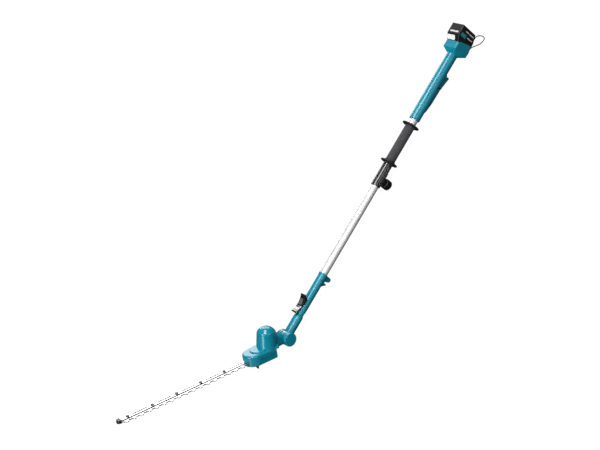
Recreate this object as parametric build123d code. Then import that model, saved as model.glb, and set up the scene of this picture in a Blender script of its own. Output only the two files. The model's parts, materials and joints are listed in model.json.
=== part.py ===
"""Cordless pole hedge trimmer with a tilting cutter head and a telescopic pole.

Millimetres. The pole axis runs along X: the cutter head is at -X, the battery at +X, and +Z is the
upper side, away from the trigger and the clamp knob. Parts are drawn with the head pivot at the
origin, and everything is shifted at the end so that the origin is the bottom centre of the box
around the object without its cord.
"""
from build123d import *
import math
import os

# ---- driving dimensions: pole and handle, along X from the head pivot -------------------------
TILT_DEG = 41.0
INNER_TUBE_R = 12.5
INNER_TUBE_WALL = 1.2
INNER_TUBE_X = (150.0, 895.0)
OUTER_TUBE_R = 14.0
OUTER_TUBE_BORE_R = 12.8
OUTER_TUBE_X = (600.0, 905.0)
COLLAR_X = (556.0, 638.0)
COLLAR_R = 15.6
COLLAR_BORE_R = 12.56
KNOB_X = 582.0
KNOB_R = 16.5
KNOB_Z = (-47.0, -25.0)
BOSS_R = 10.0
BOSS_END_Z = -22.0
STUD_R = 4.0
STUD_Z = (-42.0, -15.7)
SHOE_END_Z = -15.4
NUT_Z = (-21.0, -16.5)
NUT_FLATS = 13.0
GRIP_X = (651.0, 778.0)
GRIP_R = 16.0
FLANGE_R = 29.0
FLANGE_X = (642.0, 783.0)
SHELL_X = (803.0, 1086.0)
SHELL_R = 18.0
SHELL_WALL = 2.4
FLARE_START_X = 1049.0
BOX_START_X = 1062.0
BOX_HALF_Y = 30.0
BOX_CORNER_R = 6.5
BOX_Z = (-33.0, 30.0)
TRIGGER_PIVOT = (936.0, -18.0)
LOCK_OFF = (931.0, -5.0)

# ---- driving dimensions: battery --------------------------------------------------------------
BATTERY_X = (1086.3, 1141.0)
BATTERY_HALF_Y = 28.4
CELL_R = 9.0
CELL_LENGTH = 65.0
CORD_R = 1.5

# ---- driving dimensions: joint housing --------------------------------------------------------
HOUSING_R = 13.7
HOUSING_END_X = 233.0
ARM_R = 15.0
KNUCKLE_R = 22.0
KNUCKLE_HALF = 27.0
PIVOT_R = 5.0
BOLT_HEAD_Y = (-23.5, -19.0)
BOLT_HEAD_FLATS = 13.5
LEVER_PIVOT = (126.0, 14.8)
LEVER_PIN_R = 1.6
LEVER_HALF_Y = 12.0
LOCK_PIN_Y = 5.0
LOCK_PIN_R = 2.5
LOCK_PIN_TIP_X = 21.0
DETENT_STEP_DEG = 11.5

# ---- driving dimensions: head, in its own frame: b forward, y across, n up ---------------------
MOTOR_B = 72.0
MODULE = 1.0
PINION_TEETH = 12
CRANK_TEETH = 52
CRANK_B = MOTOR_B + MODULE * (PINION_TEETH + CRANK_TEETH) / 2
THROW = 6.5
STROKE = 2 * THROW
ECCENTRIC_R = 7.0
DECK_N = -4.0
TIER_N = 4.0
DOME_B = 73.0
DOME_BASE_R = 32.6
DOME_LEAN_DEG = 8.0
CASE_BOTTOM_N = -30.0
COVER_BOTTOM_N = -33.0
CASE_HALF = 33.0
UPPER_BLADE_N = (-19.9, -18.1)
LOWER_BLADE_N = (-21.9, -20.1)
BAR_N = (-18.0, -15.8)
BLADE_END_B = 606.0
BLADE_HALF = 16.0
TOOTH_TIP = 23.5
TOOTH_PITCH = 26.0
FIRST_TOOTH_B = 180.0
TOOTH_COUNT = 17
BOLT_FIRST_B = 152.0
BOLT_PITCH = 86.3
BOLT_COUNT = 6
BOLT_R = 3.0
COVER_SCREWS = [(66, 27), (66, -27), (122, 28), (122, -28)]
RUNNING = 0.05

MIN_Z = (Align.CENTER, Align.CENTER, Align.MIN)
PARTS = {}


# ---- small helpers ----------------------------------------------------------------------------
def rod_x(radius, x0, x1, y=0.0, z=0.0):
    return Location((x0, y, z), (0, 90, 0)) * Cylinder(radius, x1 - x0, align=MIN_Z)


def rod_y(radius, y0, y1, x=0.0, z=0.0):
    return Location((x, y0, z), (-90, 0, 0)) * Cylinder(radius, y1 - y0, align=MIN_Z)


def rod_z(radius, z0, z1, x=0.0, y=0.0):
    return Location((x, y, z0)) * Cylinder(radius, z1 - z0, align=MIN_Z)


def tube_x(outer, inner, x0, x1):
    return rod_x(outer, x0, x1) - rod_x(inner, x0 - 1, x1 + 1)


def ring_z(outer, inner, z0, z1, x=0.0, y=0.0):
    return rod_z(outer, z0, z1, x, y) - rod_z(inner, z0 - 1, z1 + 1, x, y)


def block(x0, x1, y0, y1, z0, z1):
    centre = Location(((x0 + x1) / 2, (y0 + y1) / 2, (z0 + z1) / 2))
    return centre * Box(x1 - x0, y1 - y0, z1 - z0)


def slab_y(points, y0, y1):
    """Solid with an outline in the XZ plane, from y0 to y1."""
    face = make_face(Polyline(*[(x, z) for x, z in points], close=True))
    return Plane((0, y1, 0), x_dir=(1, 0, 0), z_dir=(0, -1, 0)).location * extrude(face, y1 - y0)


def slab_z(outline, z0, z1):
    return Location((0, 0, z0)) * extrude(outline, z1 - z0)


def turned_x(points):
    """Solid of revolution about X from (x, radius) points."""
    face = make_face(Polyline(*[(x, r, 0) for x, r in points], close=True))
    return revolve(face, Axis.X)


def hexagon_z(across_flats, z0, z1, x=0.0, y=0.0):
    outline = RegularPolygon(across_flats / 2, 6, major_radius=False)
    return Location((x, y, 0)) * slab_z(outline, z0, z1)


def hexagon_y(across_flats, y0, y1, x=0.0, z=0.0):
    outline = RegularPolygon(across_flats / 2, 6, major_radius=False)
    return Location((x, y0, z), (-90, 0, 0)) * extrude(outline, y1 - y0)


def soften(edges, radius):
    """Round edges, with a smaller radius where the full one does not fit."""
    edges = list(edges)
    for size in (radius, 0.6 * radius, 0.35 * radius):
        try:
            return fillet(edges, size)
        except ValueError:
            continue
    print("left sharp", len(edges), "edges", radius)
    return edges[0].topo_parent


def keep(name, shape):
    PARTS[name] = shape


# ---- rear handle ------------------------------------------------------------------------------
SHELL_SCREWS = [(912.0, 11.0), (1005.0, 10.5), (1005.0, -10.5), (1068.0, 21.0), (1068.0, -24.0)]


def rounded_section(x, width, height, corner, z=0.0):
    plane = Plane((x, 0, z), x_dir=(0, 1, 0), z_dir=(1, 0, 0))
    return plane * RectangleRounded(width, height, corner)


def flared_box(inset, rear_x):
    """Handle end that flares from the round grip to the battery box."""
    box_height = BOX_Z[1] - BOX_Z[0] - 2 * inset
    box_mid = (BOX_Z[0] + BOX_Z[1]) / 2
    grip_side = 2 * (SHELL_R - inset)
    box_width = 2 * (BOX_HALF_Y - inset)
    corner = BOX_CORNER_R - inset
    grip_end = rounded_section(FLARE_START_X, grip_side, grip_side, grip_side / 2 - 0.05)
    mouth = rounded_section(BOX_START_X, box_width, box_height, corner, box_mid)
    return loft([grip_end, mouth]) + extrude(mouth, rear_x - BOX_START_X)


def trigger_guard():
    points = [(832, -14), (850, -20), (880, -23.5), (932, -24.5), (974, -28.5), (986, -16)]
    return soften(slab_y(points, -9.5, 9.5).edges().filter_by(Axis.Y, reverse=True), 1.8)


def handle_shell():
    grip = turned_x([(803, 0), (803, 15.2), (804.2, 17), (807, SHELL_R), (FLARE_START_X + 1, SHELL_R),
                     (FLARE_START_X + 1, 0)])
    outer = grip + flared_box(0, SHELL_X[1]) + trigger_guard()
    cavity = rod_x(SHELL_R - SHELL_WALL, OUTER_TUBE_X[1] + 1, FLARE_START_X + 0.5)
    cavity += flared_box(SHELL_WALL, SHELL_X[1] - 2.5)
    shell = outer - cavity - rod_x(OUTER_TUBE_R, 790, OUTER_TUBE_X[1] + 1.5)
    cheek = [(1080, 23), (1089, 23), (1103, -26), (1080, -26)]
    shell += slab_y(cheek, -BOX_HALF_Y + 0.1, -28.6) + slab_y(cheek, 28.6, BOX_HALF_Y - 0.1)
    for x, z in SHELL_SCREWS:
        shell += rod_y(3.6, -BOX_HALF_Y, BOX_HALF_Y, x, z) & outer
    shell -= block(926.5, 988, -7.3, 7.3, -40, -12)
    shell -= rod_y(2.0, -9, 9, *TRIGGER_PIVOT)
    shell -= rod_y(4.1, -25, 25, *LOCK_OFF)
    for x, z in SHELL_SCREWS:
        shell -= rod_y(1.5, -9, 9, x, z) + rod_y(2.8, 9, 40, x, z)
    seam = tube_x(SHELL_R + 1, SHELL_R - 0.7, 939.4, 940.4)
    shell -= seam & block(930, 950, -30, 30, -9, 30)
    return shell


def rear_handle():
    shell = handle_shell()
    keep("handle_shell_left", shell & block(780, 1100, -60, 0, -60, 60))
    keep("handle_shell_right", shell & block(780, 1100, 0, 60, -60, 60))
    screws = [rod_y(1.5, -9, 9, x, z) + rod_y(2.7, 9, 11.4, x, z) for x, z in SHELL_SCREWS]
    keep("handle_screws", Compound(screws))
    keep("trigger_pin", rod_y(2.0, -9, 9, *TRIGGER_PIVOT))
    plunger = rod_z(2.0, -11, -6, 962)
    keep("switch_unit", block(948, 992, -9, 9, -6, 8) + plunger)
    board = block(1052, 1080, -17, 17, -1, 0.6)
    keep("controller_board", board + block(1056, 1066, -12, -2, 0.6, 7) + rod_z(5, 0.6, 11, 1072, 8))


def tubes_and_clamp():
    keep("outer_tube", tube_x(OUTER_TUBE_R, OUTER_TUBE_BORE_R, *OUTER_TUBE_X))
    front, rear = COLLAR_X
    collar = turned_x([(front, 0), (front, 14.4), (front + 1.6, COLLAR_R), (rear - 1.6, COLLAR_R),
                       (rear, 14.6), (rear, 0)])
    collar += rod_z(BOSS_R, BOSS_END_Z, 0, KNOB_X) + block(KNOB_X - 7, KNOB_X + 30, -4, 4, -19, 0)
    flutes = PolarLocations(COLLAR_R + 0.35, 28)
    groove = rod_z(0.8, 0, rear - front - 12)
    fluting = Location((front + 6, 0, 0), (0, 90, 0)) * Compound([spot * groove for spot in flutes])
    keep_clear = rod_z(BOSS_R + 0.5, -40, 0, KNOB_X) + block(KNOB_X - 7.5, KNOB_X + 30.5, -4.5, 4.5, -30, 0)
    collar -= [g - keep_clear for g in fluting.solids()]
    collar -= rod_x(COLLAR_BORE_R, front - 1, OUTER_TUBE_X[0]) + rod_x(OUTER_TUBE_R, OUTER_TUBE_X[0], rear + 1)
    collar -= rod_z(5.0, NUT_Z[1], 0, KNOB_X) + hexagon_z(NUT_FLATS, *NUT_Z, KNOB_X)
    collar -= rod_z(STUD_R + 0.3, -40, NUT_Z[0], KNOB_X)
    keep("clamp_collar", collar)
    shoe = rod_z(5.0, SHOE_END_Z, 0, KNOB_X) - rod_x(INNER_TUBE_R + 0.04, KNOB_X - 10, KNOB_X + 10)
    keep("clamp_shoe", shoe & block(KNOB_X - 9, KNOB_X + 9, -9, 9, -30, -9))
    keep("knob_nut", hexagon_z(NUT_FLATS, *NUT_Z, KNOB_X) - rod_z(STUD_R + RUNNING, -30, -10, KNOB_X))
    grip = tube_x(GRIP_R, OUTER_TUBE_R, *GRIP_X)
    rims = grip.edges().filter_by(GeomType.CIRCLE).sort_by(SortBy.RADIUS)[-2:]
    keep("grip_sleeve", chamfer(rims, 0.8))
    keep("grip_flange_front", grip_flange(FLANGE_X[0], 1))
    keep("grip_flange_rear", grip_flange(FLANGE_X[1], -1))


def grip_flange(x, side):
    """Hand stop: a thin dished disc with a hub on the tube; side is the way to the foam sleeve."""
    hub_end = GRIP_X[0] if side > 0 else GRIP_X[1]
    profile = [(hub_end, OUTER_TUBE_R), (hub_end, 17.4), (x + 3.4 * side, 18.6),
               (x + 2.6 * side, 27), (x + 3.0 * side, FLANGE_R - 0.6), (x + 1.6 * side, FLANGE_R),
               (x - 0.4 * side, FLANGE_R - 0.5), (x - 0.6 * side, 27), (x - 0.8 * side, 19),
               (x - 2.0 * side, 16.4), (x - 3.6 * side, 15.2), (x - 3.6 * side, OUTER_TUBE_R)]
    return turned_x(profile)


def clamp_knob():
    low, high = KNOB_Z
    knob = rod_z(KNOB_R, low, high, KNOB_X)
    rims = knob.edges().filter_by(GeomType.CIRCLE)
    knob = soften(rims, 2.4) + rod_z(9.0, high - 1, BOSS_END_Z - 0.4, KNOB_X)
    for spot in PolarLocations(KNOB_R + 1.6, 12):
        knob -= Location((KNOB_X, 0, 0)) * spot * rod_z(3.0, low - 1, high - 3.5)
    stud = rod_z(STUD_R, *STUD_Z, KNOB_X)
    keep("clamp_knob", knob - stud)
    keep("clamp_stud", stud)


def trigger_group():
    points = [(929.5, -15), (940, -13.2), (950, -16), (978, -20.5), (982, -30.8), (979, -34),
              (975, -33.6), (934, -27), (929.5, -23)]
    trigger = slab_y(points, -7.0, 7.0)
    rims = [e for e in trigger.edges() if abs(abs(e.center().Y) - 7) < 0.01 and e.center().Z < -24]
    trigger = soften(rims, 1.5)
    keep("trigger", trigger - rod_y(2.05, -10, 10, *TRIGGER_PIVOT))
    button = rod_y(4.0, -20.6, 16.4, *LOCK_OFF)
    ends = button.edges().filter_by(GeomType.CIRCLE)
    keep("lock_off_button", soften(ends, 1.0))


# ---- battery ----------------------------------------------------------------------------------
CHAMFER_FROM = (1086.3, 30.0)
CHAMFER_SLOPE = math.atan2(13.0, 18.7)


def on_chamfer(along, depth):
    """Point of the battery's sloping front top: distance along it and depth under it."""
    x = CHAMFER_FROM[0] + along * math.cos(CHAMFER_SLOPE) + depth * math.sin(CHAMFER_SLOPE)
    z = CHAMFER_FROM[1] + along * math.sin(CHAMFER_SLOPE) - depth * math.cos(CHAMFER_SLOPE)
    return (x, z)


def button_outline(gap, top, bottom):
    return [on_chamfer(1.6 - gap, top), on_chamfer(17.4 + gap, top),
            on_chamfer(17.4 + gap, bottom), on_chamfer(1.6 - gap, bottom)]


def battery():
    front, rear = BATTERY_X
    outline = [(front, 30), (front + 18.7, 43), (rear, 43), (rear, -20), (front + 26, -30), (front, -30)]
    case = slab_y(outline, -BATTERY_HALF_Y, BATTERY_HALF_Y)
    case = soften(case.edges().filter_by(Axis.Y, reverse=True), 2.2)
    room = slab_y([(front + 17, 41), (rear - 2, 41), (rear - 2, -18.5), (front + 25.5, -27.8),
                   (front + 17, -27.8)], -27.1, 27.1)
    case -= room
    case -= block(front - 1, front + 3, -15.4, 15.4, -40, 22.4)
    case -= block(front + 2.8, front + 6.6, -20.4, 20.4, -40, 22.4)
    case -= block(front + 6.4, front + 14.2, -9, 9, -40, 10)
    case -= slab_y(button_outline(0.35, -3, 5.6), -11.35, 25.35)
    split = front + 37.0
    keep("battery_case", case & block(front - 5, split, -40, 40, -50, 60))
    keep("battery_cover", case & block(split, rear + 5, -40, 40, -50, 60))
    cell_x = front + 26.8
    cells = [rod_z(CELL_R - 0.02, -24.2, -24.2 + CELL_LENGTH, cell_x, y) for y in (-18.05, 0, 18.05)]
    keep("battery_cells", Compound(cells))
    keep("battery_board", block(front + 38, front + 39.6, -24, 24, -15, 36))
    keep("battery_button", soften(slab_y(button_outline(0, -1.2, 3.0), -11, 25).edges(), 0.7))


def battery_dock():
    x = SHELL_X[1]
    rail = block(x, x + 3.6, -15, 15, -26, 22) + block(x + 3.5, x + 6.5, -20, 20, -26, 22)
    slots = [block(x + 2, x + 8, y - 0.5, y + 0.5, -12, 8) for y in (-6, 0, 6)]
    keep("battery_rail", rail - slots)
    keep("contact_blades", Compound([block(x + 2, x + 13, y - 0.5, y + 0.5, -12, 8) for y in (-6, 0, 6)]))


# ---- cord loop --------------------------------------------------------------------------------
CORD_ROUTE = [(1086, -12.5, -35.4), (1096, -12.5, -35.4), (1112, -14, -34.5), (1128, -19.5, -29.8),
              (1140, -26, -25.5), (1147.5, -33.5, -30), (1151, -39.5, -37.5), (1149, -44.5, -42.8),
              (1142, -46.5, -43.8), (1131.5, -46, -42.2), (1122, -43, -39.8), (1113, -35.5, -36.8),
              (1105, -23.5, -35.4), (1096, -18.5, -35.4), (1086, -18.5, -35.4)]


def bend_radii(route):
    radii = []
    for before, corner, after in zip(route, route[1:], route[2:]):
        into = Vector(*corner) - Vector(*before)
        out = Vector(*after) - Vector(*corner)
        half_turn = math.radians(into.get_angle(out)) / 2
        radii.append(0.45 * min(into.length, out.length) / math.tan(half_turn))
    return radii


def cord_loop():
    radii = bend_radii(CORD_ROUTE)
    path = FilletPolyline(*CORD_ROUTE, radius=radii)
    start = Plane(path @ 0, z_dir=path % 0)
    loop = sweep(start * Circle(CORD_R), path=path)
    print("cord radii", [round(r, 1) for r in radii], "length", round(path.length, 1),
          "volume ratio", round(loop.volume / (math.pi * CORD_R ** 2 * path.length), 4))
    keep("cord_loop", loop)
    lug = block(1074, 1086, -22, -9, -38, -31)
    lug = soften(lug.edges().filter_by(Axis.X), 1.6)
    keep("cord_anchor", lug - flared_box(0, SHELL_X[1]))


# ---- pole and joint housing -------------------------------------------------------------------
HOUSING_SCREWS = [(62.0, 9.5), (62.0, -9.5), (146.0, 0.0)]


def joint_housing():
    body = turned_x([(0, 0), (0, ARM_R), (77, ARM_R), (83, 12.4), (92, 12.4), (98, HOUSING_R),
                     (224, HOUSING_R), (226, 14.9), (232, 14.9), (HOUSING_END_X, 14.2), (HOUSING_END_X, 0)])
    disc = rod_y(KNUCKLE_R, -KNUCKLE_HALF, 0)
    rim = [e for e in disc.edges().filter_by(GeomType.CIRCLE) if e.center().Y < -20]
    body += soften(rim, 3.0)
    ear = [(120, 7.9), (132, 7.9), (129, 15), (127.4, 17.2), (124.6, 17.2), (123, 15)]
    body += slab_y(ear, -9.5, -6.5) + slab_y(ear, 6.5, 9.5)
    body -= rod_y(KNUCKLE_R + 0.6, 0, 40)
    body -= rod_x(10.2, 32, 140)
    body -= rod_x(INNER_TUBE_R, INNER_TUBE_X[0], 300)
    body -= rod_x(11.0, 139, INNER_TUBE_X[0] + 1)
    body -= rod_x(LOCK_PIN_R + RUNNING, 10, 60, LOCK_PIN_Y)
    body -= rod_y(PIVOT_R, BOLT_HEAD_Y[0], 40)
    body -= hexagon_y(BOLT_HEAD_FLATS, *BOLT_HEAD_Y)
    body -= rod_y(LEVER_PIN_R, -40, 40, *LEVER_PIVOT)
    for x, z in HOUSING_SCREWS:
        body -= rod_y(1.4, -9, 9, x, z) + rod_y(2.6, 9, 40, x, z)
    return body


def pole():
    body = joint_housing()
    keep("joint_housing_left", body & block(-60, 300, -60, 0, -60, 60))
    keep("joint_housing_right", body & block(-60, 300, 0, 60, -60, 60))
    screws = [rod_y(1.4, -9, 9, x, z) + rod_y(2.5, 9, 10.6, x, z) for x, z in HOUSING_SCREWS[:2]]
    x, z = HOUSING_SCREWS[2]
    screws.append(rod_y(1.4, 11.1, 12.9, x, z) + rod_y(2.5, 11.4, 13.2, x, z))
    keep("housing_screws", Compound(screws))
    inner = INNER_TUBE_R - INNER_TUBE_WALL
    keep("inner_tube", tube_x(INNER_TUBE_R, inner, *INNER_TUBE_X))
    end = INNER_TUBE_X[1]
    keep("tube_end_bush", rod_x(inner, end - 16, end) + rod_x(OUTER_TUBE_BORE_R - RUNNING, end, end + 4)
         - rod_x(7, end - 20, end + 9))
    keep("pivot_bolt", rod_y(PIVOT_R, BOLT_HEAD_Y[0], 30.5) + hexagon_y(BOLT_HEAD_FLATS, *BOLT_HEAD_Y))
    keep("pivot_nut", hexagon_y(15, 24.4, 29.4) - rod_y(PIVOT_R, 20, 40))
    keep("lever_pin", rod_y(LEVER_PIN_R, -12, 12, *LEVER_PIVOT))
    keep("hanging_hook", hanging_hook())


def hanging_hook():
    lobe = slab_y([(215, -10), (214.6, -24), (217.5, -31.5), (223, -35.5), (229, -34.5), (232, -29),
                   (231.6, -10)], -6, 6)
    horn = slab_y([(193, -10), (199, -19), (203.5, -26.5), (207.5, -27.5), (208.8, -24), (208.4, -10)], -6, 6)
    hook = lobe + horn + slab_y([(193, -10), (232, -10), (232, -16.5), (196, -16.5)], -6, 6)
    rounded = [e for e in hook.edges() if abs(abs(e.center().Y) - 6) < 0.01 and e.center().Z < -17]
    hook = soften(rounded, 1.6)
    return hook - rod_x(HOUSING_R, 180, 224) - rod_x(14.9, 224, 240)


def angle_lever():
    """Saddle-shaped lever over the pole, with a cheek each side for its hinge pin."""
    web = [(84, 29.2), (92, 26.2), (100, 22.8), (108, 21.0), (118, 20.8), (128, 23.0), (136, 26.2), (143, 30.2),
           (144.4, 27.4), (140, 23.0), (135, 19.2), (131, 18.0), (120, 17.8), (112, 16.6), (106, 17.8),
           (100, 20.2), (92, 23.6), (84, 26.6)]
    lever = slab_y(web, -LEVER_HALF_Y, LEVER_HALF_Y)
    rims = [e for e in lever.edges() if abs(abs(e.center().Y) - LEVER_HALF_Y) < 0.01 and e.center().Z > 20.5]
    lever = soften(rims, 1.0)
    cheek = [(111, 18.5), (118, 12.4), (134, 12.4), (139.5, 22.0), (120, 20.0), (111, 20.0)]
    for side in (-1, 1):
        y0, y1 = sorted((side * 9.9, side * LEVER_HALF_Y))
        lever += slab_y(cheek, y0, y1)
    lever -= rod_y(LEVER_PIN_R + 0.05, -30, 30, *LEVER_PIVOT)
    pad = slab_y([(110, 19.2), (118, 19.2), (128, 21.2), (131, 22.4), (130.4, 24.6), (128, 23.8),
                  (118, 21.6), (110, 21.6)], -7, 7)
    facing = slab_y([(84, 40), (84, 27.9), (92, 24.9), (100, 21.6), (106.5, 19.9), (106.5, 40)], -20, 20)
    keep("angle_lever", lever - pad - facing)
    keep("lever_pad", pad)
    plate = slab_y([(84, 26.6), (92, 23.6), (100, 20.2), (106, 17.8), (110, 16.8), (108, 14.4), (84, 14.4)],
                   -8.5, 8.5)
    keep("lever_plate", Compound([plate - lever, lever & facing]))
    keep("lever_tip", block(80.4, 84, -10, 10, 15.5, 29.6))


def lock_pin():
    shaft = rod_x(LOCK_PIN_R, LOCK_PIN_TIP_X, 84, LOCK_PIN_Y)
    keep("lock_pin", shaft + block(80, 90, 0.6, 8.4, -4.5, 4.5))


# ---- cutter head, in its own frame ------------------------------------------------------------
def case_outline(rear_b, nose_from, nose_b, half):
    sides = Polyline((nose_from, half), (rear_b, half), (rear_b, -half), (nose_from, -half))
    nose = ThreePointArc((nose_from, -half), (nose_b, 0), (nose_from, half))
    return make_face(Curve() + [sides, nose])


def rear_uprights(body):
    return [e for e in body.edges().filter_by(Axis.Z) if e.center().X < 60]


def gear_housing_outer():
    body = slab_z(case_outline(58, 127, 161, CASE_HALF), CASE_BOTTOM_N, DECK_N)
    return soften(rear_uprights(body), 6)


def motor_base_outer():
    """Lower tier as wide as the gear case, with a well rounded rim, and a raised deck on it."""
    tier = slab_z(case_outline(46, 127, 161, CASE_HALF), DECK_N, TIER_N)
    tier = soften(rear_uprights(tier), 8)
    tier = soften([e for e in tier.edges() if e.center().Z > TIER_N - 0.01], 6.5)
    deck = slab_z(case_outline(48, 108, 134, 27), TIER_N - 1, TIER_N + 3.4)
    deck = soften([e for e in deck.edges() if e.center().Z > TIER_N + 3.3], 1.6)
    return tier + deck + rod_z(DOME_BASE_R + 0.2, DECK_N, TIER_N, DOME_B)


def dome(profile):
    """Solid of revolution that leans back towards the pivot, cut off level with the tier."""
    face = make_face(Polyline(*[(r, 0, n) for r, n in profile], close=True))
    leaning = Location((DOME_B, 0, 7), (0, -DOME_LEAN_DEG, 0)) * revolve(face, Axis.Z)
    return leaning & block(0, 200, -60, 60, TIER_N, 120)


def motor_cover_outer():
    return dome([(0, -12), (DOME_BASE_R, -12), (DOME_BASE_R, 0), (29.8, 42), (28.4, 45.8), (19, 55), (14, 57.6),
                 (7, 59.4), (0, 60)])


def motor_cover_inner():
    return dome([(0, -12), (30.2, -12), (30.2, 0), (27.4, 42), (26.2, 44.4), (17.4, 52.8), (13, 55.2),
                 (6.6, 57), (0, 57.6)])


def spur_gear(teeth, n0, n1, bore, phase_deg):
    pitch_r = MODULE * teeth / 2
    stations = [(pitch_r - 1.2 * MODULE, -1.08), (pitch_r + 0.8 * MODULE, -0.26),
                (pitch_r + 0.8 * MODULE, 0.26), (pitch_r - 1.2 * MODULE, 1.08)]
    points = []
    for tooth in range(teeth):
        middle = math.radians(phase_deg) + tooth * 2 * math.pi / teeth
        for radius, offset in stations:
            turn = middle + offset * MODULE / radius
            points.append((radius * math.cos(turn), radius * math.sin(turn)))
    return slab_z(make_face(Polyline(*points, close=True)), n0, n1) - rod_z(bore, n0 - 1, n1 + 1)


def head_casings():
    base_outer = motor_base_outer()
    case_outer = gear_housing_outer()
    cover_outer = motor_cover_outer()
    keep("motor_cover", cover_outer - motor_cover_inner())

    base = base_outer - rod_z(20.0, -10, 10, MOTOR_B) - cover_outer
    base -= slab_z(case_outline(60, 116, 148, 28), -10, 1.0)
    base += ring_z(22.5, 20.0, DECK_N, 1.5, MOTOR_B) + ring_z(9, 6, DECK_N, 1.5, CRANK_B)
    keep("motor_base", base - rod_z(6, -10, 2, CRANK_B))

    room = slab_z(case_outline(62, 124, 151, CASE_HALF - 3), CASE_BOTTOM_N - 1, DECK_N - 2.2)
    room += rod_z(8.5, -10, 0, MOTOR_B) + rod_z(5.2, -10, 0, CRANK_B)
    case = case_outer - room
    exit_half = BLADE_HALF + 1.2
    case -= block(140, 180, -exit_half, exit_half, LOWER_BLADE_N[0] - 0.6, BAR_N[1])
    case -= rod_z(6.2, BAR_N[1] - 1, BAR_N[1] + 3.2, BOLT_FIRST_B) + rod_z(6.2, -28, -20, BOLT_FIRST_B)
    for side in (-1, 1):
        for k in range(10):
            b = 67 + 6.0 * k
            y0, y1 = sorted((side * (CASE_HALF - 1.6), side * (CASE_HALF + 2)))
            case -= block(b, b + 3.0, y0, y1, -26, -12)
    keep("gear_housing", case)

    plate = slab_z(case_outline(58, 127, 159.5, CASE_HALF - 0.6), COVER_BOTTOM_N, CASE_BOTTOM_N)
    plate = soften([e for e in plate.edges().filter_by(Axis.Z) if e.center().X < 60], 6)
    plate = chamfer([e for e in plate.edges() if e.center().Z < COVER_BOTTOM_N + 0.01], 1.6)
    for b, y in COVER_SCREWS:
        plate -= rod_z(1.7, -40, -20, b, y) + rod_z(3.2, -40, COVER_BOTTOM_N + 1.6, b, y)
    keep("bottom_cover", plate - rod_z(4.0, CASE_BOTTOM_N - 1.0, 0, CRANK_B))
    heads = (COVER_BOTTOM_N + 0.2, COVER_BOTTOM_N + 1.6)
    screws = [rod_z(1.7, COVER_BOTTOM_N + 1, CASE_BOTTOM_N, b, y) + rod_z(3.1, *heads, b, y)
              for b, y in COVER_SCREWS]
    keep("cover_screws", Compound(screws))
    tab = [(126, COVER_BOTTOM_N), (135, COVER_BOTTOM_N), (134, -41), (131.5, -45.5), (128.5, -45.5)]
    tabs = [slab_y(tab, y - 3.2, y + 3.2) for y in (-20, 20)]
    keep("foot_tabs", Compound(tabs))


# the neck behind the dome: b, lowest n, highest n, width in y, corner radius
NECK_SECTIONS = [(2, -12, 18, 32, 8), (16, -14, 22, 36, 11), (30, -15, 28, 38, 13), (44, -15.5, 33, 38, 13),
                 (60, -15.5, 34, 38, 13)]
NECK_Y = -4.5


def rounded_section_at(b, low, high, width, corner):
    plane = Plane((b, NECK_Y, (low + high) / 2), x_dir=(0, 1, 0), z_dir=(1, 0, 0))
    return plane * RectangleRounded(width, high - low, corner)


def head_knuckle():
    barrel = rod_y(KNUCKLE_R, -KNUCKLE_HALF, -8.8)
    barrel = soften([e for e in barrel.edges().filter_by(GeomType.CIRCLE) if e.center().Y < -20], 3.0)
    sections = []
    for b, low, high, width, corner in NECK_SECTIONS:
        sections.append(rounded_section_at(b, low, high, width, corner))
    neck = loft(sections, ruled=True)
    neck -= rod_y(KNUCKLE_R + 0.7, -8.8, 40)
    neck -= motor_base_outer() + motor_cover_outer() + gear_housing_outer() + block(50, 80, -40, 40, -40, -3.9)
    knuckle = barrel + neck
    knuckle -= rod_y(PIVOT_R + 0.06, -40, 0) + rod_y(9.6, -40, -24.0)
    keep("head_knuckle", knuckle.solids().sort_by(SortBy.VOLUME)[-1])
    ring = rod_y(20.6, -8.6, -0.5) - rod_y(PIVOT_R + 0.06, -40, 0)
    rest_angle = 180 - TILT_DEG
    for step in range(11):
        turn = rest_angle + step * DETENT_STEP_DEG
        notch = Location((0, -LOCK_PIN_Y, 0), (0, -turn, 0)) * rod_x(LOCK_PIN_R + 0.25, 16.5, 30)
        ring -= notch
    keep("detent_ring", ring)


def head_drive():
    can = ring_z(19.9, 8.0, 0.2, 46, MOTOR_B) + rod_z(19.9, 44, 48, MOTOR_B)
    keep("motor_can", can)
    motor_ring = ring_z(8.0, 2.5 + RUNNING, 0.6, 5.6, MOTOR_B)
    crank_ring = ring_z(6.0, 4.0 + RUNNING, -3.6, 1.6, CRANK_B)
    keep("shaft_bearings", Compound([motor_ring, crank_ring]))
    shaft = rod_z(2.5, -15.0, 40, MOTOR_B) + rod_z(7.4, 8, 38, MOTOR_B)
    keep("motor_rotor", shaft)
    pinion = spur_gear(PINION_TEETH, -14.5, -6.8, 2.5, 15)
    keep("pinion", Location((MOTOR_B, 0, 0)) * pinion)
    keep("crank_gear", Location((CRANK_B, 0, 0)) * spur_gear(CRANK_TEETH, -13.5, -8.0, 4.0, 0))
    crank = rod_z(4.0 - RUNNING, CASE_BOTTOM_N - 0.9, CASE_BOTTOM_N + 1, CRANK_B)
    crank += rod_z(4.0, CASE_BOTTOM_N + 0.5, 1.4, CRANK_B)
    crank += rod_z(ECCENTRIC_R, *UPPER_BLADE_N, CRANK_B - THROW)
    crank += rod_z(ECCENTRIC_R, *LOWER_BLADE_N, CRANK_B + THROW)
    keep("crank_shaft", crank)


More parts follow.
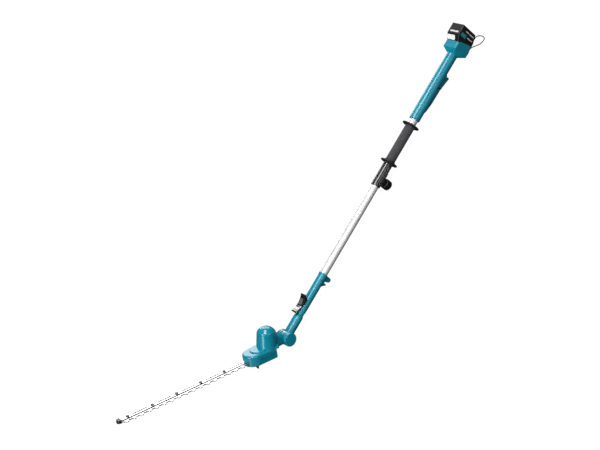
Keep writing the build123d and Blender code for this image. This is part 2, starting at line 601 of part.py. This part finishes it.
def blade(n_range, forward):
    """One toothed blade with the yoke that its eccentric drives; forward is its way of travel."""
    n0, n1 = n_range
    reach_back = ECCENTRIC_R + THROW + 0.4 + (STROKE if forward > 0 else 0)
    reach_front = ECCENTRIC_R + THROW + 0.4 + (STROKE if forward < 0 else 0)
    window = block(CRANK_B - reach_back, CRANK_B + reach_front, -14, 14, n0 - 1, n1 + 1)
    yoke = block(CRANK_B - reach_back - 4, CRANK_B + reach_front + 4, -19, 19, n0, n1)
    body = yoke + block(CRANK_B + reach_front + 1, BLADE_END_B, -BLADE_HALF, BLADE_HALF, n0, n1)
    for k in range(TOOTH_COUNT):
        b = FIRST_TOOTH_B + k * TOOTH_PITCH
        for side in (-1, 1):
            base = side * (BLADE_HALF - 0.5)
            tip = side * TOOTH_TIP
            outline = Polyline((b - 7.0, base), (b - 3.2, tip - side * 1.2), (b - 1.6, tip), (b + 2.2, tip),
                               (b + 3.6, tip - side * 1.6), (b + 6.0, base), close=True)
            body += slab_z(make_face(outline), n0, n1)
    body -= window
    for k in range(BOLT_COUNT):
        b = BOLT_FIRST_B + k * BOLT_PITCH
        low = b - (STROKE if forward > 0 else 0)
        high = b + (STROKE if forward < 0 else 0)
        radius = BOLT_R + RUNNING
        body -= block(low, high, -radius, radius, n0 - 1, n1 + 1)
        body -= rod_z(radius, n0 - 1, n1 + 1, low) + rod_z(radius, n0 - 1, n1 + 1, high)
    return body


def cutter():
    keep("upper_blade", blade(UPPER_BLADE_N, 1))
    keep("lower_blade", blade(LOWER_BLADE_N, -1))
    bar = block(141, 612, -8.5, 8.5, *BAR_N)
    for k in range(BOLT_COUNT):
        bar -= rod_z(BOLT_R, -40, 0, BOLT_FIRST_B + k * BOLT_PITCH)
    for k in range(BOLT_COUNT - 1):
        b = BOLT_FIRST_B + (k + 0.5) * BOLT_PITCH
        bar -= block(b - 22, b + 22, -3, 3, -40, 0) + rod_z(3, -40, 0, b - 22) + rod_z(3, -40, 0, b + 22)
    keep("guide_bar", bar)
    spots = [BOLT_FIRST_B + k * BOLT_PITCH for k in range(BOLT_COUNT)]
    keep("blade_bolts", Compound([rod_z(BOLT_R, -26.2, BAR_N[1], b) + rod_z(5.4, BAR_N[1], BAR_N[1] + 2.2, b)
                                  for b in spots]))
    nuts = [hexagon_z(9.4, -25.6, -22.2, b) - rod_z(BOLT_R, -40, 0, b) for b in spots]
    keep("blade_nuts", Compound(nuts))
    guard = slab_z(case_outline(607, 613, 622, 9.5), -24.5, -13.8)
    guard = soften(guard.edges(), 1.5) - block(600, 612, -8.5, 8.5, *BAR_N)
    keep("tip_guard", guard - block(600, BLADE_END_B + STROKE + 1, -13, 13, LOWER_BLADE_N[0] - 0.4, BAR_N[0]))


# ---- everything in place ----------------------------------------------------------------------
HEAD_NODES = ["motor_cover", "motor_base", "gear_housing", "bottom_cover", "cover_screws", "foot_tabs",
              "head_knuckle", "detent_ring", "motor_can", "shaft_bearings", "motor_rotor",
              "pinion", "crank_gear", "crank_shaft", "upper_blade", "lower_blade", "guide_bar", "blade_bolts",
              "blade_nuts", "tip_guard"]


def main():
    rear_handle()
    tubes_and_clamp()
    clamp_knob()
    trigger_group()
    battery()
    battery_dock()
    cord_loop()
    pole()
    angle_lever()
    lock_pin()
    head_casings()
    head_knuckle()
    head_drive()
    cutter()
    tilt = math.radians(TILT_DEG)
    head_place = Plane((0, 0, 0), x_dir=(-math.cos(tilt), 0, math.sin(tilt)),
                       z_dir=(math.sin(tilt), 0, math.cos(tilt))).location
    for name in HEAD_NODES:
        PARTS[name] = head_place * PARTS[name]
    around = Compound([shape for name, shape in PARTS.items() if name != "cord_loop"]).bounding_box()
    shift = (-(around.min.X + around.max.X) / 2, -(around.min.Y + around.max.Y) / 2, -around.min.Z)
    print("shift", [round(v, 4) for v in shift], "box", around.min, around.max)
    for name, shape in PARTS.items():
        export_step(Location(shift) * shape, f"parts/{name}.step")


main()
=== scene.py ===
"""Looks of the cordless pole hedge trimmer: camera, cord, materials, labels, light and floor.

Metres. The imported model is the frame; the head pivot is the point that the shapes here start from.
"""
import json
import math

import bmesh
import bpy
from mathutils import Matrix, Vector


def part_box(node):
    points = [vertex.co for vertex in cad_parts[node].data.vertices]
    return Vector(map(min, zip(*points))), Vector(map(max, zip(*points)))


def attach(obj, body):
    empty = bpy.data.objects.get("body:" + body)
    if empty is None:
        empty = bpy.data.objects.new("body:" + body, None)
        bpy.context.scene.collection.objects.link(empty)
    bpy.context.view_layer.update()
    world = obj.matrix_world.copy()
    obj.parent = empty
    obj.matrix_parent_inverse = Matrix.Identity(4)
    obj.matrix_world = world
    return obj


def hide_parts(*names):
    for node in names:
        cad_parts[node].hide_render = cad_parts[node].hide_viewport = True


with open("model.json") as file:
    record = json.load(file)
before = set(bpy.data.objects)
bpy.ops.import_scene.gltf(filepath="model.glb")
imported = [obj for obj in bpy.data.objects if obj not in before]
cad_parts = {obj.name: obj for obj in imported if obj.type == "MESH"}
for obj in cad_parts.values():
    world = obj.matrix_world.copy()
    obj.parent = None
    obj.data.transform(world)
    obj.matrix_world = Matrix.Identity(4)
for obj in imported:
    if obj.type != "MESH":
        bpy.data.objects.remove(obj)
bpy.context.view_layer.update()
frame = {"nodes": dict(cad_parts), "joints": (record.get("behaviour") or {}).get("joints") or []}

NODES = frame["nodes"]
JOINTS = {joint["name"]: joint for joint in frame["joints"]}
PIVOT = Vector(JOINTS["head_tilt"]["pos_m"])
HEAD_UP = Vector(JOINTS["crank_spin"]["axis"]).normalized()
HEAD_FORWARD = Vector(JOINTS["upper_blade_slide"]["axis"]).normalized()
SCENE = bpy.context.scene


# ---- camera -----------------------------------------------------------------------------------
AIM_ALONG_POLE = 0.3138
AIM_ABOVE_POLE = 0.180
CAMERA_DISTANCE = 5.0216
LOOK_AZIMUTH = math.radians(8.77)
LOOK_DOWN = math.radians(37.71)
CAMERA_ROLL = math.radians(-53.98)
LENS_MM = 97.87
SENSOR_MM = 36.0


def make_camera():
    forward = Vector((math.sin(LOOK_AZIMUTH) * math.cos(LOOK_DOWN),
                      math.cos(LOOK_AZIMUTH) * math.cos(LOOK_DOWN), -math.sin(LOOK_DOWN)))
    level_right = forward.cross(Vector((0, 0, 1))).normalized()
    level_up = level_right.cross(forward)
    right = level_right * math.cos(CAMERA_ROLL) + level_up * math.sin(CAMERA_ROLL)
    up = right.cross(forward)
    turn = Matrix((right, up, -forward)).transposed().to_4x4()
    aim = PIVOT + Vector((AIM_ALONG_POLE, 0, AIM_ABOVE_POLE))
    data = bpy.data.cameras.new("camera")
    data.lens = LENS_MM
    data.sensor_width = SENSOR_MM
    data.clip_end = 100
    camera = bpy.data.objects.new("camera", data)
    camera.matrix_world = Matrix.Translation(aim - forward * CAMERA_DISTANCE) @ turn
    SCENE.collection.objects.link(camera)
    SCENE.camera = camera
    SCENE.view_settings.view_transform = "Standard"


# ---- cord loop --------------------------------------------------------------------------------
CORD_DIAMETER = 0.003
CORD_ROUTE = [(1.086, -0.0125, -0.0354), (1.096, -0.0125, -0.0354), (1.112, -0.014, -0.0345),
              (1.128, -0.0195, -0.0298), (1.140, -0.026, -0.0255), (1.1475, -0.0335, -0.030),
              (1.151, -0.0395, -0.0375), (1.149, -0.0445, -0.0428), (1.142, -0.0465, -0.0438),
              (1.1315, -0.046, -0.0422), (1.122, -0.043, -0.0398), (1.113, -0.0355, -0.0368),
              (1.105, -0.0235, -0.0354), (1.096, -0.0185, -0.0354), (1.086, -0.0185, -0.0354)]


def make_cord():
    curve = bpy.data.curves.new("cord", "CURVE")
    curve.dimensions = "3D"
    curve.bevel_depth = CORD_DIAMETER / 2
    curve.bevel_resolution = 5
    curve.resolution_u = 10
    curve.use_fill_caps = True
    spline = curve.splines.new("NURBS")
    spline.points.add(len(CORD_ROUTE) - 1)
    for point, place in zip(spline.points, CORD_ROUTE):
        point.co = (*(PIVOT + Vector(place)), 1)
    spline.order_u = 3
    spline.use_endpoint_u = True
    cord = bpy.data.objects.new("cord", curve)
    SCENE.collection.objects.link(cord)
    curve.materials.append(rubber("cord_rubber", (0.003, 0.003, 0.003), 0.85, 4000))
    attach(cord, "handle")
    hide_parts("cord_loop")


# ---- materials --------------------------------------------------------------------------------
NOISE_LOW = 0.3          # nearly all of a noise texture's values lie between these two
NOISE_HIGH = 0.7
GRAIN_DEPTH = 0.0002
LINE_DEPTH = 0.0001
EDGE_POINTINESS = (0.52, 0.60)
EDGE_WEAR = 0.35


def shader_tree(name):
    material = bpy.data.materials.new(name)
    material.use_nodes = True
    tree = material.node_tree
    principled = tree.nodes["Principled BSDF"]
    return material, tree, principled


def object_place(tree, scale=(1, 1, 1), rotation=(0, 0, 0)):
    coordinates = tree.nodes.new("ShaderNodeTexCoord")
    mapping = tree.nodes.new("ShaderNodeMapping")
    mapping.inputs["Scale"].default_value = scale
    mapping.inputs["Rotation"].default_value = rotation
    tree.links.new(coordinates.outputs["Object"], mapping.inputs["Vector"])
    return mapping.outputs["Vector"]


def noise(tree, place, scale, detail=3.0):
    node = tree.nodes.new("ShaderNodeTexNoise")
    node.inputs["Scale"].default_value = scale
    node.inputs["Detail"].default_value = detail
    tree.links.new(place, node.inputs["Vector"])
    return node.outputs["Fac"]


def remap(tree, value, low, high, from_low=NOISE_LOW, from_high=NOISE_HIGH):
    """Map from_low..from_high to low..high, and hold the ends."""
    node = tree.nodes.new("ShaderNodeMapRange")
    node.inputs["From Min"].default_value = from_low
    node.inputs["From Max"].default_value = from_high
    node.inputs["To Min"].default_value = low
    node.inputs["To Max"].default_value = high
    tree.links.new(value, node.inputs["Value"])
    return node.outputs["Result"]


def blend_colours(tree, factor, first, second):
    """Mix two colours; each is an RGB tuple or the output of another node."""
    node = tree.nodes.new("ShaderNodeMix")
    node.data_type = "RGBA"
    for socket, colour in ((node.inputs["A"], first), (node.inputs["B"], second)):
        if isinstance(colour, tuple):
            socket.default_value = (*colour, 1)
        else:
            tree.links.new(colour, socket)
    tree.links.new(factor, node.inputs["Factor"])
    return node.outputs["Result"]


def bump(tree, height, strength, distance, normal=None):
    node = tree.nodes.new("ShaderNodeBump")
    node.inputs["Strength"].default_value = strength
    node.inputs["Distance"].default_value = distance
    tree.links.new(height, node.inputs["Height"])
    if normal is not None:
        tree.links.new(normal, node.inputs["Normal"])
    return node.outputs["Normal"]


def shade(colour, factor):
    return tuple(min(1.0, channel * factor) for channel in colour)


def moulded(name, colour, roughness, grain=1800.0, grain_strength=0.05, coat=0.0):
    """Moulded plastic: faint flow mottling, a fine mould grain, and edges worn a little lighter."""
    material, tree, principled = shader_tree(name)
    place = object_place(tree)
    mottle = remap(tree, noise(tree, place, 22), 0.0, 1.0)
    base = blend_colours(tree, mottle, shade(colour, 0.93), shade(colour, 1.07))
    geometry = tree.nodes.new("ShaderNodeNewGeometry")
    worn = remap(tree, geometry.outputs["Pointiness"], 0.0, EDGE_WEAR, *EDGE_POINTINESS)
    worn_colour = tuple(channel * 0.9 + 0.03 for channel in colour)
    tree.links.new(blend_colours(tree, worn, base, worn_colour), principled.inputs["Base Color"])
    smudges = remap(tree, noise(tree, place, 60, 4), roughness - 0.04, roughness + 0.06)
    tree.links.new(smudges, principled.inputs["Roughness"])
    moulding = bump(tree, noise(tree, place, grain, 2), grain_strength, GRAIN_DEPTH)
    tree.links.new(moulding, principled.inputs["Normal"])
    principled.inputs["Coat Weight"].default_value = coat
    principled.inputs["Coat Roughness"].default_value = 0.12
    return material


def rubber(name, colour, roughness, grain):
    """Matt rubber with an uneven tone and a pebbled skin."""
    material, tree, principled = shader_tree(name)
    place = object_place(tree)
    tone = remap(tree, noise(tree, place, 90), 0.0, 1.0)
    tree.links.new(blend_colours(tree, tone, shade(colour, 0.85), shade(colour, 1.2)),
                   principled.inputs["Base Color"])
    tree.links.new(remap(tree, noise(tree, place, 200), roughness - 0.05, roughness + 0.08),
                   principled.inputs["Roughness"])
    skin = bump(tree, noise(tree, place, grain, 2), 0.3, GRAIN_DEPTH)
    tree.links.new(skin, principled.inputs["Normal"])
    return material


def foam(name, colour):
    """Closed-cell foam: tiny open cells in the skin over a soft, uneven tone."""
    material, tree, principled = shader_tree(name)
    place = object_place(tree)
    cells = tree.nodes.new("ShaderNodeTexVoronoi")
    cells.inputs["Scale"].default_value = 950
    tree.links.new(place, cells.inputs["Vector"])
    tone = remap(tree, noise(tree, place, 70, 5), 0.0, 1.0)
    tree.links.new(blend_colours(tree, tone, shade(colour, 0.8), shade(colour, 1.25)),
                   principled.inputs["Base Color"])
    principled.inputs["Sheen Weight"].default_value = 0.25
    principled.inputs["Sheen Roughness"].default_value = 0.5
    open_cells = remap(tree, cells.outputs["Distance"], 0.72, 0.9, 0.0, 0.7)
    tree.links.new(open_cells, principled.inputs["Roughness"])
    soft = bump(tree, noise(tree, place, 160, 3), 0.25, 0.0006)
    tree.links.new(bump(tree, cells.outputs["Distance"], 0.5, 0.0004, soft), principled.inputs["Normal"])
    return material


def upper_face(tree):
    """1 on faces turned to HEAD_UP, 0 on the cut sides and the underside of a sheet; the mask that places
    painted shade on those sides.
    """
    facing = tree.nodes.new("ShaderNodeVectorMath")
    facing.operation = "DOT_PRODUCT"
    facing.inputs[1].default_value = HEAD_UP
    coordinates = tree.nodes.new("ShaderNodeTexCoord")
    tree.links.new(coordinates.outputs["Normal"], facing.inputs[0])
    return remap(tree, facing.outputs["Value"], 0.0, 1.0, 0.75, 0.9)


def brushed(name, colour, roughness, stretch, rotation=(0, 0, 0), metallic=1.0, shaded_sides_colour=None):
    """Metal with fine lines: drawn along a tube, or left by a grinding wheel across a blade.

    The optional second colour is painted shade: it covers all of a head sheet but its upper face, so the
    cut sides and the underside are drawn darker as if in shadow.
    """
    material, tree, principled = shader_tree(name)
    lines = object_place(tree, stretch, rotation)
    plain = object_place(tree)
    tone = remap(tree, noise(tree, lines, 1.0, 4), 0.0, 1.0)
    base = blend_colours(tree, tone, shade(colour, 0.9), shade(colour, 1.06))
    # painted shade: every face but the upper one takes the darker second colour
    if shaded_sides_colour:
        base = blend_colours(tree, upper_face(tree), shaded_sides_colour, base)
    tree.links.new(base, principled.inputs["Base Color"])
    principled.inputs["Metallic"].default_value = metallic
    principled.inputs["Anisotropic"].default_value = 0.35
    tree.links.new(remap(tree, noise(tree, plain, 45, 4), roughness - 0.05, roughness + 0.08),
                   principled.inputs["Roughness"])
    tree.links.new(bump(tree, noise(tree, lines, 1.0, 3), 0.12, LINE_DEPTH), principled.inputs["Normal"])
    return material


def wrapped(name, colour):
    """Thin shrink wrap with a few wrinkles."""
    material, tree, principled = shader_tree(name)
    place = object_place(tree)
    wrinkle = noise(tree, place, 120, 4)
    tree.links.new(blend_colours(tree, remap(tree, wrinkle, 0, 1), shade(colour, 0.85), shade(colour, 1.1)),
                   principled.inputs["Base Color"])
    tree.links.new(remap(tree, wrinkle, 0.25, 0.4), principled.inputs["Roughness"])
    tree.links.new(bump(tree, wrinkle, 0.15, 0.0003), principled.inputs["Normal"])
    return material


TEAL = (0.0, 0.235, 0.330)
BLACK = (0.0045, 0.0045, 0.0055)
NICKEL = (0.88, 0.88, 0.89)

# how the noise is stretched into lines, and turned from the pole's frame to the tilted blade's
ALONG_POLE = (6, 900, 900)
ACROSS_BLADE = (900, 9, 900)
BLADE_TURN = (0, math.atan2(HEAD_FORWARD.z, -HEAD_FORWARD.x), 0)


def dress_nodes():
    """Give each node of the frame its one material."""
    teal = moulded("teal_nylon", TEAL, 0.30, coat=0.25)
    teal_head = moulded("teal_nylon_head", TEAL, 0.24, coat=0.4)
    black = moulded("black_plastic", BLACK, 0.32, coat=0.15)
    gloss_black = moulded("black_plastic_gloss", BLACK, 0.14, 2400, 0.03, coat=0.7)
    black_matt = moulded("black_plastic_matt", shade(BLACK, 1.5), 0.55, 900, 0.15)
    silver_tube = brushed("anodised_tube", (0.86, 0.86, 0.88), 0.36, ALONG_POLE, metallic=0.45)
    # painted shade: the blades' sides and underside are a darker grey, and the guide bar's are near black,
    # standing for their edges in shadow
    plated = brushed("nickel_blade", NICKEL, 0.30, ACROSS_BLADE, BLADE_TURN, shaded_sides_colour=(0.62, 0.61, 0.60))
    bar_steel = brushed("guide_bar_steel", NICKEL, 0.30, ACROSS_BLADE, BLADE_TURN,
                        shaded_sides_colour=(0.02, 0.018, 0.018))
    zinc = brushed("zinc_steel", (0.62, 0.63, 0.65), 0.34, (300, 300, 300))
    bright = brushed("bright_steel", (0.86, 0.87, 0.88), 0.25, (30, 600, 600))
    dark_bolt = brushed("black_oxide", (0.09, 0.09, 0.10), 0.42, (300, 300, 300))
    brass = brushed("brass", (0.78, 0.58, 0.26), 0.3, (250, 250, 250))
    looks = {
        teal: ["handle_shell_left", "handle_shell_right", "joint_housing_left", "joint_housing_right",
               "hanging_hook"],
        teal_head: ["motor_cover", "motor_base", "gear_housing", "bottom_cover", "head_knuckle"],
        gloss_black: ["clamp_collar"],
        black: ["clamp_knob", "trigger", "lock_off_button", "battery_case", "battery_cover",
                "angle_lever", "tip_guard"],
        black_matt: ["grip_flange_front", "grip_flange_rear", "foot_tabs", "cord_anchor", "lever_tip",
                     "battery_rail", "tube_end_bush", "switch_unit"],
        silver_tube: ["inner_tube", "outer_tube"],
        plated: ["upper_blade", "lower_blade"],
        bar_steel: ["guide_bar"],
        zinc: ["handle_screws", "trigger_pin", "clamp_stud", "knob_nut", "housing_screws", "pivot_bolt",
               "pivot_nut", "lever_pin", "lock_pin", "cover_screws", "detent_ring", "motor_can",
               "shaft_bearings", "motor_rotor", "pinion", "crank_gear", "crank_shaft"],
        bright: ["lever_plate"],
        dark_bolt: ["blade_bolts", "blade_nuts"],
        brass: ["clamp_shoe", "contact_blades"],
        foam("grip_foam", (0.042, 0.042, 0.047)): ["grip_sleeve"],
        rubber("lever_pad_rubber", (0.10, 0.10, 0.105), 0.6, 1200): ["lever_pad"],
        moulded("button_plastic", (0.86, 0.86, 0.87), 0.35): ["battery_button"],
        moulded("circuit_board", (0.02, 0.16, 0.05), 0.45): ["controller_board", "battery_board"],
        wrapped("cell_wrap", (0.05, 0.16, 0.45)): ["battery_cells"],
        rubber("cord_core", BLACK, 0.6, 3000): ["cord_loop"],
    }
    for material, names in looks.items():
        for name in names:
            mesh = NODES[name].data
            mesh.materials.clear()
            mesh.materials.append(material)


# ---- labels -----------------------------------------------------------------------------------
LABEL_THICKNESS = 0.0004
LABEL_SUNK = 0.0002
LABEL_BEVEL = 0.985
BAR_WIDTH = 0.0036

# on the battery's sides, behind its front face and below its top: middle of each label, and size
SIDE_PANEL = ((0.0262, 0.0200), (0.0120, 0.0230))
SIDE_BAR = ((0.0285, 0.0500), (BAR_WIDTH, 0.0250))
REAR_BARS = [((0.0425, 0.0275), (BAR_WIDTH, 0.0150)), ((0.0425, 0.0500), (BAR_WIDTH, 0.0200))]
TOP_BAR_BEHIND_FRONT = 0.0270
TOP_BAR_SIZE = (0.038, 0.0060)


def link_mesh(name, mesh_builder, material, body):
    mesh = bpy.data.meshes.new(name)
    mesh_builder.to_mesh(mesh)
    mesh_builder.free()
    mesh.materials.append(material)
    piece = bpy.data.objects.new(name, mesh)
    SCENE.collection.objects.link(piece)
    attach(piece, body)
    return piece


def rounded_outline(width, height, radius, steps=6):
    points = []
    for corner, (sx, sy) in enumerate(((1, 1), (-1, 1), (-1, -1), (1, -1))):
        centre = Vector((sx * (width / 2 - radius), sy * (height / 2 - radius)))
        for k in range(steps + 1):
            angle = math.radians(90 * corner + 90 * k / steps)
            points.append(centre + radius * Vector((math.cos(angle), math.sin(angle))))
    return points


def flat_label(name, centre, right, up, size, material, body, radius=0.0015):
    """Thin plate with rounded corners, lying on a flat face; right x up points outwards."""
    out = right.cross(up).normalized()
    shape = bmesh.new()
    outline = rounded_outline(*size, min(radius, size[1] / 2.2))
    rings = []
    for inset, lift in ((1.0, -LABEL_SUNK), (1.0, LABEL_THICKNESS * 0.6), (LABEL_BEVEL, LABEL_THICKNESS)):
        rings.append([shape.verts.new(centre + right * p.x * inset + up * p.y * inset + out * lift)
                      for p in outline])
    count = len(outline)
    for lower, upper in zip(rings, rings[1:]):
        for k in range(count):
            shape.faces.new((lower[k], lower[(k + 1) % count], upper[(k + 1) % count], upper[k]))
    shape.faces.new(rings[-1])
    shape.faces.new(list(reversed(rings[0])))
    return link_mesh(name, shape, material, body)


def battery_labels():
    """Plain colour panels and bars, in place of printing, on the sides and top of the battery."""
    low, high = (Vector(corner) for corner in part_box("battery_case"))
    teal_panel = moulded("label_teal", (0.03, 0.24, 0.30), 0.4)
    grey_bar = moulded("label_grey", (0.62, 0.62, 0.64), 0.45)
    up = Vector((0, 0, 1))
    for tag, outward, face_y in (("left", -1, low.y), ("right", 1, high.y)):
        labels = [(f"battery_panel_{tag}", SIDE_PANEL, teal_panel, "teal_shell"),
                  (f"battery_bar_low_{tag}", SIDE_BAR, grey_bar, "button_white")]
        labels += [(f"battery_bar_{k}_{tag}", bar, grey_bar, "button_white")
                   for k, bar in enumerate(REAR_BARS)]
        for name, ((behind, below), size), material, slot in labels:
            centre = Vector((low.x + behind, face_y, high.z - below))
            flat_label(name, centre, Vector((-outward, 0, 0)), up, size, material, "battery")
    top_at = Vector((low.x + TOP_BAR_BEHIND_FRONT, (low.y + high.y) / 2, high.z))
    flat_label("battery_top_bar", top_at, Vector((0, 1, 0)), Vector((-1, 0, 0)), TOP_BAR_SIZE, grey_bar,
               "battery")


# ---- light and floor --------------------------------------------------------------------------
# name, place from the point that the lights aim at, size, power in watts
LIGHTS = [("overhead", (0.5, -0.7, 2.2), (2.4, 0.8), 66),
          ("left_strip", (-1.9, -0.6, 1.6), (0.5, 2.4), 26),
          ("back_card", (1.9, 2.3, 0.35), (3.4, 1.6), 58),
          ("camera_fill", (0.7, -3.0, 0.9), (2.2, 1.4), 14)]
WORLD_STRENGTH = 0.06

# radius and height of the rings, from the floor's edge to the wall's top
BACKDROP_RINGS = [(8.0, -0.0005), (9.2, 0.25), (9.9, 0.9), (10.1, 2.0), (10.1, 7.0)]
BACKDROP_SIDES = 64
BACKDROP_GLOW = 0.97


def area_light(name, place, size, power, aim):
    data = bpy.data.lights.new(name, "AREA")
    data.shape = "RECTANGLE"
    data.size, data.size_y = size
    data.energy = power
    lamp = bpy.data.objects.new(name, data)
    lamp.location = place
    lamp.rotation_euler = (aim - place).to_track_quat("-Z", "Y").to_euler()
    SCENE.collection.objects.link(lamp)


def backdrop():
    """Round white studio floor that turns up into a wall, and casts no light on the object."""
    shape = bmesh.new()
    rings = []
    turns = [2 * math.pi * k / BACKDROP_SIDES for k in range(BACKDROP_SIDES)]
    for radius, height in BACKDROP_RINGS:
        rings.append([shape.verts.new((radius * math.cos(t), radius * math.sin(t), height)) for t in turns])
    shape.faces.new(rings[0])
    for lower, upper in zip(rings, rings[1:]):
        for k in range(BACKDROP_SIDES):
            after = (k + 1) % BACKDROP_SIDES
            shape.faces.new((lower[k], lower[after], upper[after], upper[k])).smooth = True
    mesh = bpy.data.meshes.new("backdrop")
    shape.to_mesh(mesh)
    shape.free()
    floor = bpy.data.objects.new("backdrop", mesh)
    SCENE.collection.objects.link(floor)
    material, tree, principled = shader_tree("backdrop_paper")
    tone = remap(tree, noise(tree, object_place(tree), 3), 0.0, 1.0)
    tree.links.new(blend_colours(tree, tone, (0.055, 0.055, 0.055), (0.06, 0.06, 0.06)),
                   principled.inputs["Base Color"])
    principled.inputs["Roughness"].default_value = 0.9
    principled.inputs["Specular IOR Level"].default_value = 0.0
    principled.inputs["Emission Color"].default_value = (1, 1, 1, 1)
    principled.inputs["Emission Strength"].default_value = BACKDROP_GLOW
    mesh.materials.append(material)
    floor.visible_diffuse = False
    floor.visible_glossy = False


def studio():
    middle = PIVOT + Vector((AIM_ALONG_POLE, 0, 0))
    for name, place, size, power in LIGHTS:
        area_light(name, middle + Vector(place), size, power, middle)
    world = bpy.data.worlds.new("studio")
    world.use_nodes = True
    world.node_tree.nodes["Background"].inputs["Color"].default_value = (1, 1, 1, 1)
    world.node_tree.nodes["Background"].inputs["Strength"].default_value = WORLD_STRENGTH
    SCENE.world = world
    backdrop()


make_camera()
make_cord()
dress_nodes()
battery_labels()
studio()
